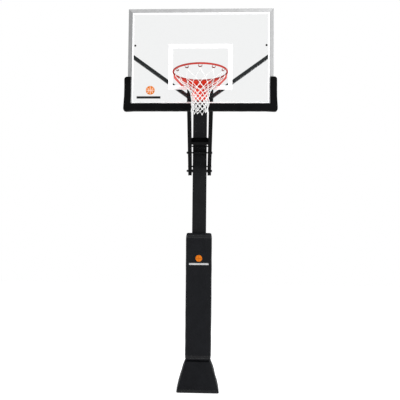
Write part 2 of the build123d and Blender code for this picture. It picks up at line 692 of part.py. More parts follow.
pieces["board_pivot_bolts"] = grouped(
    pivot_bolt(UPPER_BOARD_PIVOT) + pivot_bolt(LOWER_BOARD_PIVOT)
)

# ---------------------------------------------------------------- board: edge pad
with BuildPart() as edge_pad:
    pad_width = 2 * EDGE_PAD_OUTER_X
    pad_height = EDGE_PAD_TOP - EDGE_PAD_BOTTOM
    pad_centre = (0, (EDGE_PAD_TOP + EDGE_PAD_BOTTOM) / 2)
    pad_front = RAIL_FRONT - EDGE_PAD_FRONT
    with BuildSketch(at_y(RAIL_BACK)):
        with Locations(pad_centre):
            Rectangle(pad_width, pad_height)
        fillet(vertices().group_by(Axis.Z)[0], EDGE_PAD_CORNER_R)
    extrude(amount=RAIL_BACK - pad_front)
    fillet(edge_pad.edges().filter_by(Axis.Z).group_by(Axis.Y)[0], 8)
    inner_top = EDGE_PAD_TOP + 50
    with BuildSketch(at_y(RAIL_BACK)):
        with Locations((0, (inner_top + BOARD_BOTTOM + RAIL_WIDTH + 1) / 2)):
            Rectangle(2 * EDGE_PAD_INNER_X, inner_top - BOARD_BOTTOM - RAIL_WIDTH - 1)
    extrude(amount=RAIL_BACK - pad_front, mode=Mode.SUBTRACT)
    with BuildSketch(at_y(RAIL_BACK)):
        with Locations((0, (inner_top + BOARD_BOTTOM - 0.4) / 2)):
            Rectangle(BOARD_WIDTH + 0.8, inner_top - BOARD_BOTTOM + 0.4)
    extrude(amount=RAIL_DEPTH + 0.4, mode=Mode.SUBTRACT)
pieces["edge_pad"] = edge_pad.part

# ---------------------------------------------------------------- rim mount on the board
BACKING_BACK = FRAME_FRONT - 0.2
BACKING_FRONT = BACKING_BACK - 8
PLATE_FRONT = BOARD_FACE_Y - 8
HOUSING_NOSE = PLATE_FRONT - 61
HOUSING_LIP = 3003.0

with BuildPart() as rim_backing_plate:
    with BuildSketch(at_y(BACKING_BACK)):
        with Locations((0, 2930)):
            RectangleRounded(2 * UPRIGHT_OUTER_X, 112, 4)
        with Locations(RIM_BOLTS):
            Circle(RIM_BOLT_R + 0.5, mode=Mode.SUBTRACT)
    extrude(amount=8)
pieces["rim_backing_plate"] = rim_backing_plate.part

pieces["rim_spacers"] = grouped(
    peg(12, GLASS_BACK + 0.1, BACKING_FRONT - 0.1, centre, bore=RIM_BOLT_R + 0.5)
    for centre in RIM_BOLTS
)

rim_bolts = []
for centre in RIM_BOLTS:
    with BuildPart() as rim_bolt:
        with BuildSketch(at_y(BACKING_BACK + 16)):
            with Locations(centre):
                Circle(RIM_BOLT_R)
        extrude(amount=BACKING_BACK + 16 - PLATE_FRONT)
        with BuildSketch(at_y(PLATE_FRONT)):
            with Locations(centre):
                RegularPolygon(8.5, 6, major_radius=False)
        extrude(amount=6.5)
        with BuildSketch(at_y(BACKING_BACK + 9)):
            with Locations(centre):
                RegularPolygon(8.5, 6, major_radius=False)
        extrude(amount=9)
    rim_bolts.append(rim_bolt.part)
pieces["rim_bolts"] = grouped(rim_bolts)

EAR_INNER_X = 50.0
with BuildPart() as rim_back_plate:
    with BuildSketch(at_y(BOARD_FACE_Y)):
        with Locations((0, (BRACKET_BOTTOM + 3046) / 2)):
            RectangleRounded(2 * BRACKET_HALF_WIDTH, 3046 - BRACKET_BOTTOM, 6)
        with Locations(RIM_BOLTS):
            Circle(RIM_BOLT_R + 0.5, mode=Mode.SUBTRACT)
    extrude(amount=8)
    for x_ear in (-EAR_INNER_X - 6, EAR_INNER_X):
        with BuildSketch(at_x(x_ear)):
            with Locations(RIM_PIVOT):
                Circle(11)
            with Locations((PLATE_FRONT, RIM_PIVOT[1] - 9)):
                Rectangle(1, 38)
            make_hull()
            with Locations(RIM_PIVOT):
                Circle(RIM_PIVOT_R + BORE_GAP, mode=Mode.SUBTRACT)
        extrude(amount=6)
pieces["rim_back_plate"] = rim_back_plate.part

with BuildPart() as rim_housing:
    nose_depth = PLATE_FRONT - HOUSING_NOSE - 0.1
    with BuildSketch(Plane.XY.offset(BRACKET_BOTTOM)):
        with Locations((0, HOUSING_NOSE + nose_depth / 2)):
            Rectangle(2 * BRACKET_HALF_WIDTH, nose_depth)
    extrude(amount=HOUSING_LIP - BRACKET_BOTTOM)
    fillet(rim_housing.edges().filter_by(Axis.X).group_by(Axis.Z)[0].sort_by(Axis.Y)[0], 12)
    with BuildSketch(Plane.XY.offset(BRACKET_BOTTOM + BRACKET_WALL)):
        with Locations((0, HOUSING_NOSE + BRACKET_WALL + nose_depth / 2)):
            Rectangle(2 * (BRACKET_HALF_WIDTH - BRACKET_WALL), nose_depth)
    extrude(amount=HOUSING_LIP - BRACKET_BOTTOM, mode=Mode.SUBTRACT)
pieces["rim_housing"] = rim_housing.part

pieces["rim_pivot_pin"] = round_bar(RIM_PIVOT_R, -74, 74, RIM_PIVOT)

SPRING_R = 11.0
SPRING_WIRE_R = 2.0
SPRING_Y = RIM_PIVOT[0] - 30
SPRING_BOTTOM = BRACKET_BOTTOM + BRACKET_WALL
springs = []
for x_spring in (-30, 30):
    spring_height = WING_BOTTOM - SPRING_BOTTOM - 2 * SPRING_WIRE_R - 0.4
    spring_foot = (x_spring, SPRING_Y, SPRING_BOTTOM + SPRING_WIRE_R + 0.2)
    with BuildPart() as spring:
        with BuildLine():
            coil = Helix(spring_height / 8, spring_height, SPRING_R, center=spring_foot)
        with BuildSketch(Plane(coil @ 0, z_dir=coil % 0)):
            Circle(SPRING_WIRE_R)
        sweep(is_frenet=True)
    springs.append(spring.part)
pieces["rim_springs"] = grouped(springs)

# ---------------------------------------------------------------- rim
with BuildPart() as rim_ring:
    with BuildSketch(Plane.XZ.offset(-RING_CENTRE_Y)):
        with Locations((RING_MID_R, RING_MID_Z)):
            Circle(RING_ROD_R)
    revolve(axis=Axis((0, RING_CENTRE_Y, 0), (0, 0, 1)))
pieces["rim_ring"] = rim_ring.part

WING_FRONT_HALF = 236.0
WING_MIDDLE = (237.0, -1272.0)  # (half width, Y) where the plate's straight sides turn inwards
WING_REAR_HALF = 178.0
WING_REAR_Y = RIM_PIVOT[0] + 9
GUSSET_HALF = 134.0
WING_SKIRT_Y = HOUSING_NOSE - 8
with BuildPart() as rim_wing:
    with BuildSketch(Plane.XY.offset(WING_BOTTOM)):
        wing_corner_y = RING_CENTRE_Y + (RING_MID_R**2 - WING_FRONT_HALF**2) ** 0.5
        with BuildLine():
            Polyline(
                (-WING_FRONT_HALF, wing_corner_y),
                (-WING_MIDDLE[0], WING_MIDDLE[1]),
                (-WING_REAR_HALF, WING_REAR_Y),
                (WING_REAR_HALF, WING_REAR_Y),
                WING_MIDDLE,
                (WING_FRONT_HALF, wing_corner_y),
                close=True,
            )
        make_face()
        with Locations((0, RING_CENTRE_Y)):
            Circle(RING_INNER_R + 3, mode=Mode.SUBTRACT)
    extrude(amount=WING_THICKNESS)
    with BuildSketch(at_y(WING_SKIRT_Y)):
        with Locations((0, WING_BOTTOM - 12)):
            Rectangle(2 * BRACKET_HALF_WIDTH + 8, 24)
    extrude(amount=4)
    for side in (-1, 1):
        with BuildSketch(at_y(WING_REAR_Y - 4)):
            with BuildLine():
                Polyline(
                    (side * (BRACKET_HALF_WIDTH + 4), WING_BOTTOM + 1),
                    (side * GUSSET_HALF, WING_BOTTOM + 1),
                    (side * GUSSET_HALF, WING_BOTTOM - 10),
                    (side * (BRACKET_HALF_WIDTH + 12), WING_BOTTOM - 40),
                    (side * (BRACKET_HALF_WIDTH + 4), WING_BOTTOM - 40),
                    close=True,
                )
            make_face()
        extrude(amount=5)
    for x_lug in (-64, 58):
        with BuildSketch(at_x(x_lug)):
            with Locations(RIM_PIVOT):
                Circle(10)
            with Locations((RIM_PIVOT[0] - 6, WING_BOTTOM - 0.5)):
                Rectangle(30, 1)
            make_hull()
            with Locations(RIM_PIVOT):
                Circle(RIM_PIVOT_R + BORE_GAP, mode=Mode.SUBTRACT)
        extrude(amount=6)
pieces["rim_wing"] = rim_wing.part

HOOK_TOP = RING_MID_Z + 3
HOOK_FOOT_Z = 3008.0
hooks = []
for index in range(HOOK_COUNT):
    angle = 360 / HOOK_COUNT * index
    hook_plane = Plane((0, RING_CENTRE_Y, 0), x_dir=(cos(radians(angle)), sin(radians(angle)), 0))
    with BuildPart(hook_plane) as hook:
        with Locations((RING_INNER_R - 2.2, 0, (HOOK_TOP + HOOK_FOOT_Z) / 2)):
            Box(4, 8, HOOK_TOP - HOOK_FOOT_Z)
        with Locations((RING_INNER_R - 5.2, 0, HOOK_FOOT_Z + 3)):
            Box(10, 24, 6)
    hooks.append(hook.part)
pieces["net_hooks"] = grouped(hooks)

NET_PROFILE = [(221, 3006), (160, 2945), (108, 2893), (87, 2850), (84, 2801), (79, 2739),
               (80, NET_BOTTOM)]
with BuildPart() as net:
    with BuildSketch(Plane.XZ.offset(-RING_CENTRE_Y)):
        with BuildLine():
            Polyline(*NET_PROFILE, *[(r - NET_WALL, z) for r, z in reversed(NET_PROFILE)],
                     close=True)
        make_face()
    revolve(axis=Axis((0, RING_CENTRE_Y, 0), (0, 0, 1)))
pieces["net"] = net.part

# ---------------------------------------------------------------- write every piece
for name, piece in pieces.items():
    piece.label = name
    export_step(piece, f"parts/{name}.step")

print(f"{len(pieces)} pieces; travel {TRAVEL_DEG:.3f} deg; link {LINK_LENGTH:.2f} at {LINK_RISE:.3f}")
print(f"jack pin {JACK_PIN}, jack travel {JACK_TRAVEL:.2f}, axis y {JACK_Y:.2f}, lever {LEVER:.2f}")
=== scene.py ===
"""Looks of an in-ground basketball hoop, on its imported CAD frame. Metres, +Z up, board faces -Y."""
import json
import math
import random

import bmesh
import bpy
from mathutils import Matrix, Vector, noise
from mathutils.bvhtree import BVHTree


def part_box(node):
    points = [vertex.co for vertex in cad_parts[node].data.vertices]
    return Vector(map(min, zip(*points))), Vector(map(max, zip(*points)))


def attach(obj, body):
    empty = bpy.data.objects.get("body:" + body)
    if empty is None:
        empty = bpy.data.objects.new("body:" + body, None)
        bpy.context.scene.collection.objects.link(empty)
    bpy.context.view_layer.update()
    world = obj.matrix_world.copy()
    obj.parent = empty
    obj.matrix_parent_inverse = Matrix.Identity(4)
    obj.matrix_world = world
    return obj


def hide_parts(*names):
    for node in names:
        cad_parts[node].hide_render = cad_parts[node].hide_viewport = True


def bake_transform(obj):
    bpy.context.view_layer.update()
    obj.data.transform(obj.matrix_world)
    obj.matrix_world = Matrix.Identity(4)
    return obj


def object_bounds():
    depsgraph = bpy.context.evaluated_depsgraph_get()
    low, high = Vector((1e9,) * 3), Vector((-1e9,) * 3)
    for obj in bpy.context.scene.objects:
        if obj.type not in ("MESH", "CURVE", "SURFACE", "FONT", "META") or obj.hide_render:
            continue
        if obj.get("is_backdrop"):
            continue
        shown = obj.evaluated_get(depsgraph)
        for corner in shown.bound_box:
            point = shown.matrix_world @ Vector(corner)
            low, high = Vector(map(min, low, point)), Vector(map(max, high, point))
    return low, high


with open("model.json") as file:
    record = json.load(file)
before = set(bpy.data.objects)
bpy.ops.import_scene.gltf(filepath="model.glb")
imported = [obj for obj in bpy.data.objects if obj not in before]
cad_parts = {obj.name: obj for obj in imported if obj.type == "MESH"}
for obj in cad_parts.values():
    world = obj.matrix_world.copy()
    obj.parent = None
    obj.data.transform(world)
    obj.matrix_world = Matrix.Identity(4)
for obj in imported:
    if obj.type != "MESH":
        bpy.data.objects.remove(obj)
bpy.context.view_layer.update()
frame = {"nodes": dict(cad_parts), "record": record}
nodes = frame["nodes"]
slot_of = {part["node"]: part["material_slot"] for part in frame["record"]["subparts"]}
rng = random.Random(7)

ring_low, ring_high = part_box("rim_ring")
RING_Y = (ring_low.y + ring_high.y) / 2
RING_ROD = (ring_high.z - ring_low.z) / 2
RING_R = (ring_high.x - ring_low.x) / 2 - RING_ROD
RING_Z = (ring_high.z + ring_low.z) / 2
FACE_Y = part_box("glass_panel")[0].y
POLE_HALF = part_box("pole_tube")[1].x
NOISE_LOW, NOISE_HIGH = 0.3, 0.7  # the span that most of a noise texture's values lie in


# ---------------------------------------------------------------- materials
class Nodes:
    """A material's node tree, built a step at a time from one Principled shader."""

    def __init__(self, name):
        self.material = bpy.data.materials.new(name)
        self.material.use_nodes = True
        self.tree = self.material.node_tree
        self.shader = self.tree.nodes["Principled BSDF"]
        self.place = self.tree.nodes.new("ShaderNodeTexCoord").outputs["Object"]

    def new(self, kind, **inputs):
        node = self.tree.nodes.new(kind)
        for key, value in inputs.items():
            socket = node.inputs[key.replace("_", " ")]
            if isinstance(value, bpy.types.NodeSocket):
                self.tree.links.new(value, socket)
            else:
                socket.default_value = value
        return node

    def stretched(self, scale):
        return self.new("ShaderNodeMapping", Vector=self.place, Scale=scale).outputs["Vector"]

    def noise(self, scale, detail=3.0, rough=0.5, at=None):
        node = self.new("ShaderNodeTexNoise", Vector=at or self.place, Scale=scale, Detail=detail,
                        Roughness=rough)
        return node.outputs["Fac"]

    def cells(self, scale, feature="F1"):
        node = self.new("ShaderNodeTexVoronoi", Vector=self.place, Scale=scale)
        node.feature = feature
        return node.outputs["Distance"]

    def ramp(self, fac, low, high):
        node = self.new("ShaderNodeValToRGB", Fac=fac)
        node.color_ramp.elements[0].position = NOISE_LOW
        node.color_ramp.elements[1].position = NOISE_HIGH
        node.color_ramp.elements[0].color = (*low, 1)
        node.color_ramp.elements[1].color = (*high, 1)
        return node.outputs["Color"]

    def spread(self, fac, low, high, start=NOISE_LOW, end=NOISE_HIGH):
        node = self.new("ShaderNodeMapRange", Value=fac, From_Min=start, From_Max=end, To_Min=low,
                        To_Max=high)
        return node.outputs["Result"]

    def link(self, value, socket):
        self.tree.links.new(value, self.shader.inputs[socket])

    def bump(self, height, strength, distance, under=None):
        node = self.new("ShaderNodeBump", Height=height, Strength=strength, Distance=distance)
        if under:
            self.tree.links.new(under, node.inputs["Normal"])
        self.link(node.outputs["Normal"], "Normal")
        return node.outputs["Normal"]

    def constant(self, **values):
        for key, value in values.items():
            self.shader.inputs[key.replace("_", " ")].default_value = value
        return self


def powder_coat(name, dark, light, rough=(0.46, 0.6), peel=260.0, shine=0.16):
    """Satin powder coat: orange peel, faint handling marks and dusty patches."""
    m = Nodes(name)
    m.link(m.ramp(m.noise(5.5, 6.0, 0.62), dark, light), "Base Color")
    scuff = m.noise(1.0, 5.0, 0.7, m.stretched((40, 40, 7)))
    m.link(m.spread(scuff, *rough), "Roughness")
    fine = m.bump(m.noise(peel, 2.0), 0.22, 0.0006)
    m.bump(m.noise(38.0, 3.0), 0.10, 0.0012, fine)
    m.constant(Specular_IOR_Level=shine)
    return m.material


def metal(name, dark, light, rough, grain=(30, 30, 30), grain_scale=12.0, metallic=1.0):
    """Bare or plated metal with a directional grain and tarnish."""
    m = Nodes(name)
    m.link(m.ramp(m.noise(26.0, 5.0, 0.6), dark, light), "Base Color")
    lines = m.noise(grain_scale, 3.0, 0.6, m.stretched(grain))
    m.link(m.spread(lines, *rough), "Roughness")
    m.bump(lines, 0.12, 0.0003)
    m.constant(Metallic=metallic)
    return m.material


def vinyl(name, dark, light):
    """Vinyl-coated cloth: pebbled leather grain over a faint weave, slightly uneven in shade."""
    m = Nodes(name)
    m.link(m.ramp(m.noise(7.0, 5.0, 0.6), dark, light), "Base Color")
    m.link(m.spread(m.noise(22.0, 5.0, 0.6), 0.5, 0.64), "Roughness")
    pebbles = m.cells(620.0, "DISTANCE_TO_EDGE")
    fine = m.bump(m.spread(pebbles, 0.0, 1.0, 0.0, 0.16), 0.35, 0.0005)
    m.bump(m.noise(45.0, 3.0), 0.14, 0.0018, fine)
    m.constant(Specular_IOR_Level=0.12)
    return m.material


def moulded(name, dark, light, rough=(0.55, 0.7), shine=0.15):
    """Skinned foam, rubber or plastic with a spark-eroded mould texture."""
    m = Nodes(name)
    m.link(m.ramp(m.noise(9.0, 5.0, 0.6), dark, light), "Base Color")
    m.link(m.spread(m.noise(30.0, 4.0), *rough), "Roughness")
    m.bump(m.noise(420.0, 2.0), 0.3, 0.0005)
    m.constant(Specular_IOR_Level=shine)
    return m.material


def cord_cloth(name, dark, light):
    """Braided cord: crossing plaits, soft fuzz and slight soiling."""
    m = Nodes(name)
    m.link(m.ramp(m.noise(60.0, 5.0, 0.65), dark, light), "Base Color")
    m.link(m.spread(m.noise(300.0), 0.75, 0.9), "Roughness")
    m.bump(m.cells(520.0), 0.5, 0.0007)
    m.constant(Specular_IOR_Level=0.25, Sheen_Weight=0.25, Sheen_Roughness=0.5)
    return m.material


def printed(name, dark, light):
    """Screen-printed enamel on glass, with a dry, slightly uneven film."""
    m = Nodes(name)
    m.link(m.ramp(m.noise(14.0, 5.0, 0.6), dark, light), "Base Color")
    m.link(m.spread(m.noise(80.0, 4.0), 0.3, 0.45), "Roughness")
    m.bump(m.noise(700.0, 2.0), 0.08, 0.0002)
    m.constant(Specular_IOR_Level=0.1)
    return m.material


def clear_glass(name):
    """Tempered glass pane: nearly clear, mirrors more at grazing angles, faint smears."""
    m = Nodes(name)
    m.link(m.spread(m.noise(3.0, 6.0, 0.65), 0.02, 0.07), "Roughness")
    m.constant(Base_Color=(0.62, 0.70, 0.70, 1), IOR=1.5)
    clear = m.new("ShaderNodeBsdfTransparent", Color=(0.944, 0.946, 0.946, 1))
    fresnel = m.new("ShaderNodeFresnel", IOR=1.26)
    mix = m.new("ShaderNodeMixShader", Fac=fresnel.outputs["Fac"])
    output = m.tree.nodes["Material Output"]
    m.tree.links.new(clear.outputs["BSDF"], mix.inputs[1])
    m.tree.links.new(m.shader.outputs["BSDF"], mix.inputs[2])
    m.tree.links.new(mix.outputs["Shader"], output.inputs["Surface"])
    return m.material


COATED, SATIN, WORN = (0.34, 0.48), (0.36, 0.46), (0.2, 0.38)  # roughness, from and to
RAIL_GRAIN = ((2.0, 60, 60), 9.0, 0.35)  # brushed along X: stretch, scale, how metallic
finish = {
    "pole_steel": powder_coat("pole_powder_coat", (0.0042, 0.0044, 0.0050),
                              (0.0076, 0.0080, 0.0088), shine=0.12),
    "frame_steel": powder_coat("frame_powder_coat", (0.0013, 0.0013, 0.0014),
                               (0.0034, 0.0034, 0.0037), shine=0.045),
    "black_zinc": metal("black_zinc", (0.035, 0.035, 0.038), (0.09, 0.09, 0.095), (0.32, 0.5)),
    "bright_steel": metal("bright_steel", (0.42, 0.43, 0.45), (0.6, 0.61, 0.63), WORN),
    "bronze": metal("bronze", (0.35, 0.22, 0.09), (0.52, 0.35, 0.16), (0.28, 0.45)),
    "jack_paint": powder_coat("jack_paint", (0.006, 0.006, 0.0065), (0.011, 0.011, 0.012),
                              (0.3, 0.42), shine=0.3),
    "rail_aluminium": metal("rail_aluminium", (0.30, 0.305, 0.31), (0.36, 0.365, 0.37), SATIN,
                            *RAIL_GRAIN),
    "board_glass": clear_glass("board_glass"),
    "gasket_rubber": moulded("gasket_rubber", (0.012, 0.012, 0.012), (0.02, 0.02, 0.02)),
    "grip_rubber": moulded("grip_rubber", (0.010, 0.010, 0.010), (0.020, 0.020, 0.020)),
    "cap_plastic": moulded("cap_plastic", (0.008, 0.008, 0.008), (0.014, 0.014, 0.014),
                           (0.4, 0.55)),
    "pad_vinyl": vinyl("pad_vinyl", (0.0028, 0.0031, 0.0042), (0.0054, 0.0059, 0.0076)),
    "edge_foam": moulded("edge_foam", (0.0014, 0.0014, 0.0015), (0.0034, 0.0034, 0.0036),
                         shine=0.05),
    "rim_red": powder_coat("rim_red", (0.56, 0.026, 0.012), (0.68, 0.042, 0.018), COATED, 320.0,
                           0.3),
    "hook_steel": powder_coat("hook_steel", (0.12, 0.010, 0.006), (0.20, 0.018, 0.010),
                              (0.5, 0.6), 320.0, 0.06),
    "net_nylon": cord_cloth("net_nylon", (0.74, 0.74, 0.73), (0.87, 0.87, 0.86)),
}
# The ring rod's red is a darker copy of the rim's red: painted shade on the rod.
ring_red_painted_shade = powder_coat("ring_red_painted_shade", (0.34, 0.016, 0.009), (0.46, 0.028, 0.014), COATED, 320.0,
                       0.3)
strut_paint = powder_coat("strut_gloss_paint", (0.0010, 0.0010, 0.0011),
                          (0.0028, 0.0028, 0.0030), (0.16, 0.24), shine=0.5)
# The four rails are one satin aluminium in lit and shaded copies: painted light and shade, top and
# right lighter, left and bottom darker.
rail_light_and_shade = {"top": 0.46, "right": 0.37, "left": 0.30, "bottom": 0.30}
rail_lit_and_shaded = {side: metal(f"rail_painted_light_{side}", [shade] * 3, [shade * 1.16] * 3, SATIN,
                          *RAIL_GRAIN) for side, shade in rail_light_and_shade.items()}
line_white = printed("line_white", (0.96, 0.96, 0.96), (0.99, 0.99, 0.99))
mark_orange = printed("mark_orange", (0.56, 0.135, 0.004), (0.64, 0.165, 0.008))
mark_black = printed("mark_black", (0.010, 0.010, 0.010), (0.02, 0.02, 0.02))
mark_grey = printed("mark_grey", (0.42, 0.42, 0.42), (0.52, 0.52, 0.52))
stitch_thread = cord_cloth("stitch_thread", (0.02, 0.02, 0.024), (0.04, 0.04, 0.045))
webbing = cord_cloth("webbing", (0.0026, 0.0028, 0.0036), (0.0050, 0.0054, 0.0066))

for name, cad in nodes.items():
    cad.data.materials.clear()
    cad.data.materials.append(finish[slot_of[name]])
# each rail gets its own lit or shaded copy of the aluminium: painted light and shade
for side, material in rail_lit_and_shaded.items():
    nodes[f"frame_rail_{side}"].data.materials[0] = material
for side in ("left", "right"):
    nodes[f"strut_{side}"].data.materials[0] = strut_paint
# the ring takes the darker copy of the rim's red: painted shade
nodes["rim_ring"].data.materials[0] = ring_red_painted_shade


# ---------------------------------------------------------------- making pieces
def add(name, data, body, slot, material=None, smooth=True):
    """A finished piece from mesh data: it rides on a body and takes a slot's finish."""
    piece = bpy.data.objects.new(name, data)
    bpy.context.collection.objects.link(piece)
    data.materials.clear()
    data.materials.append(material or finish[slot])
    for face in data.polygons:
        face.use_smooth = smooth
    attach(piece, body)
    return piece


def mesh_of(bm, name):
    bmesh.ops.recalc_face_normals(bm, faces=bm.faces)
    data = bpy.data.meshes.new(name)
    bm.to_mesh(data)
    bm.free()
    return data


def evaluated(piece):
    """The piece's mesh with its modifiers worked in."""
    graph = bpy.context.evaluated_depsgraph_get()
    return bpy.data.meshes.new_from_object(piece.evaluated_get(graph))


def cords(name, paths, radius, body, slot, material=None, closed=False, sides=3, steps=4):
    """Round bars or cords along smooth paths, as one mesh. A path point may carry a radius."""
    curve = bpy.data.curves.new(name, "CURVE")
    curve.dimensions = "3D"
    curve.bevel_depth = radius
    curve.bevel_resolution = sides
    curve.use_fill_caps = True
    for path in paths:
        spline = curve.splines.new("NURBS")
        spline.points.add(len(path) - 1)
        for point, place in zip(spline.points, path):
            point.co = (*place[:3], 1)
            if len(place) == 4:
                point.radius = place[3]
        spline.order_u = 3
        spline.use_endpoint_u = not closed
        spline.use_cyclic_u = closed
        spline.resolution_u = steps
    holder = bpy.data.objects.new(name + "_path", curve)
    bpy.context.collection.objects.link(holder)
    data = evaluated(holder)
    bpy.data.objects.remove(holder)
    return add(name, data, body, slot, material)


def prism(bm, outline, axis_from, axis_to, place):
    """A closed prism: outline points (u, v) swept between two depths; place(u, v, w) gives 3-D."""
    lower = [bm.verts.new(place(u, v, axis_from)) for u, v in outline]
    upper = [bm.verts.new(place(u, v, axis_to)) for u, v in outline]
    bm.faces.new(lower)
    bm.faces.new(list(reversed(upper)))
    for i in range(len(outline)):
        j = (i + 1) % len(outline)
        bm.faces.new((lower[j], lower[i], upper[i], upper[j]))


def on_board(u, v, w):
    return Vector((u, w, v))


def disc(radius, count, centre):
    return [(centre[0] + radius * math.cos(math.tau * i / count),
             centre[1] + radius * math.sin(math.tau * i / count)) for i in range(count)]


# ---------------------------------------------------------------- soft covers
def square_loop(half, corner, per_side, per_corner):
    """Points of a rounded square, each with 0 in the middle of a side and 1 at a corner."""
    flat = half - corner
    points = []
    for side in range(4):
        a = side * math.pi / 2
        c, s = math.cos(a), math.sin(a)
        run = [(half, -flat + 2 * flat * (i + 0.5) / per_side,
                abs(2 * (i + 0.5) / per_side - 1) ** 3) for i in range(per_side)]
        bend = [(flat + corner * math.cos(b), flat + corner * math.sin(b), 1.0)
                for b in (math.pi / 2 * (i + 0.5) / per_corner for i in range(per_corner))]
        points += [(x * c - y * s, x * s + y * c, w) for x, y, w in run + bend]
    return points


def sleeve(name, rings, per_side, per_corner, body, slot):
    """A closed padded sleeve round the pole. rings: (z, half size, corner radius, pin weight)."""
    bm = bmesh.new()
    pins = []
    loops = []
    for z, half, corner, pin in rings:
        loop = square_loop(half, corner, per_side, per_corner)
        loops.append([bm.verts.new((x, y, z)) for x, y, w in loop])
        pins += [max(pin, 0.55 * w if pin < 1 else 1) for x, y, w in loop]
    count = len(loops[0])
    for i, loop in enumerate(loops):
        following = loops[(i + 1) % len(loops)]
        for j in range(count):
            k = (j + 1) % count
            bm.faces.new((loop[j], loop[k], following[k], following[j]))
    piece = add(name, mesh_of(bm, name), body, slot)
    group = piece.vertex_groups.new(name="pin")
    for index, weight in enumerate(pins):
        group.add([index], weight, "REPLACE")
    return piece


SWELL_FRAMES = 16


def inflate(piece, pressure, cap):
    """Swells a closed skin as cloth under pressure, then keeps the result in its mesh."""
    rest = [vertex.co.copy() for vertex in piece.data.vertices]
    cloth = piece.modifiers.new("swell", "CLOTH")
    settings = cloth.settings
    settings.quality = 6
    settings.mass = 0.3
    settings.tension_stiffness = 30
    settings.compression_stiffness = 30
    settings.shear_stiffness = 12
    settings.bending_stiffness = 4
    settings.use_pressure = True
    settings.uniform_pressure_force = pressure
    settings.vertex_group_mass = "pin"
    settings.pin_stiffness = 1.0
    settings.effector_weights.gravity = 0
    cloth.point_cache.frame_start = 1
    cloth.point_cache.frame_end = SWELL_FRAMES
    for step in range(1, SWELL_FRAMES + 1):
        bpy.context.scene.frame_set(step)
    swollen = evaluated(piece)
    moved = [vertex.co.copy() for vertex in swollen.vertices]
    piece.modifiers.remove(cloth)
    bpy.context.scene.frame_set(1)
    for vertex, before, after in zip(piece.data.vertices, rest, moved):
        shift = after - before
        vertex.co = before + shift * min(1.0, cap / max(shift.length, 1e-9))


def ripple(piece, amount, scale, keep):
    """Small uneven folds: moves points along their normals, as far as keep(point) allows."""
    data = piece.data
    normals = [vertex.normal.copy() for vertex in data.vertices]
    for vertex, normal in zip(data.vertices, normals):
        share = keep(vertex.co)
        if share:
            vertex.co += normal * amount * share * noise.noise(vertex.co * scale)


def even(low, high, count):
    """Evenly spaced numbers, both ends included."""
    return [low + (high - low) * i / (count - 1) for i in range(count)]


def share(value, span):
    """How far a value is along a span, kept between 0 and 1."""
    return min(1.0, max(0.0, value / span))


def outside(point, half):
    """Whether a point is outside a square round the pole's axis."""
    return max(abs(point.x), abs(point.y)) > half


def surface_of(piece):
    """Ray-casting tree of the piece's finished surface."""
    return BVHTree.FromObject(piece, bpy.context.evaluated_depsgraph_get())


def drape(name, tree, rays, thick, body, slot, material=None, wrap=False):
    """A thin closed patch laid on a surface, soft at its rim: rows of (origin, direction) rays."""
    bm = bmesh.new()
    upper, lower = [], []
    for i, row in enumerate(rays):
        tops, bottoms = [], []
        for j, (origin, direction) in enumerate(row):
            place, normal = tree.ray_cast(Vector(origin), Vector(direction))[:2]
            rim = i in (0, len(rays) - 1) or (not wrap and j in (0, len(row) - 1))
            tops.append(bm.verts.new(place + normal * thick * (0.4 if rim else 1.0)))
            bottoms.append(bm.verts.new(place - normal * 0.0010))
        upper.append(tops)
        lower.append(bottoms)
    count = len(rays[0])
    for j in range(count if wrap else count - 1):
        k = (j + 1) % count
        for a, b, c, d in zip(upper, upper[1:], lower, lower[1:]):
            bm.faces.new((a[j], a[k], b[k], b[j]))
            bm.faces.new((c[j], d[j], d[k], c[k]))
        for i in (0, -1):
            bm.faces.new((upper[i][j], upper[i][k], lower[i][k], lower[i][j]))
    if not wrap:
        for j in (0, -1):
            for a, b, c, d in zip(upper, upper[1:], lower, lower[1:]):
                bm.faces.new((a[j], b[j], d[j], c[j]))
    return add(name, mesh_of(bm, name), body, slot, material)


STITCH, STITCH_GAP, THREAD_R = 0.0046, 0.0034, 0.0007


def stitches(name, tree, runs, body, lift):
    """Rows of thread stitches laid on a surface. runs: (start, end, direction towards it)."""
    bm = bmesh.new()
    for start, end, inward in runs:
        start, end, inward = Vector(start), Vector(end), Vector(inward)
        along = (end - start).normalized()
        pitch = STITCH + STITCH_GAP
        for i in range(int((end - start).length / pitch)):
            place, normal = tree.ray_cast(start + along * (i + 0.5) * pitch, inward)[:2]
            run = (along - normal * along.dot(normal)).normalized()
            across = run.cross(normal)
            ends = []
            for t, high in ((-0.5, 0.0), (-0.3, 1.0), (0.3, 1.0), (0.5, 0.0)):
                centre = place + run * t * STITCH + normal * (lift + THREAD_R * (high - 0.2))
                ends.append([bm.verts.new(
                    centre + (across * math.cos(q) + normal * math.sin(q)) * THREAD_R)
                    for q in (0, math.pi / 2, math.pi, 3 * math.pi / 2)])
            for a, b in zip(ends, ends[1:]):
                for j in range(4):
                    k = (j + 1) % 4
                    bm.faces.new((a[j], a[k], b[k], b[j]))
            bm.faces.new(ends[0])
            bm.faces.new(list(reversed(ends[-1])))
    return add(name, mesh_of(bm, name), body, "pad_vinyl", stitch_thread)


def inward_loop(z):
    """Rays towards the pole's axis all round it, at one height."""
    return [((4 * x, 4 * y, z), (-x, -y, 0))
            for x, y, w in square_loop(PAD_HALF, PAD_CORNER, *PAD_COLUMNS)]


def round_runs(half, z):
    """Straight runs along the four sides of the pole's covers, 1 m out, for stitches."""
    runs = []
    for side in range(4):
        a = side * math.pi / 2
        c, s = round(math.cos(a)), round(math.sin(a))
        start, end = [(c - t * s, s + t * c, z) for t in (-half, half)]
        runs.append((start, end, (-c, -s, 0)))
    return runs


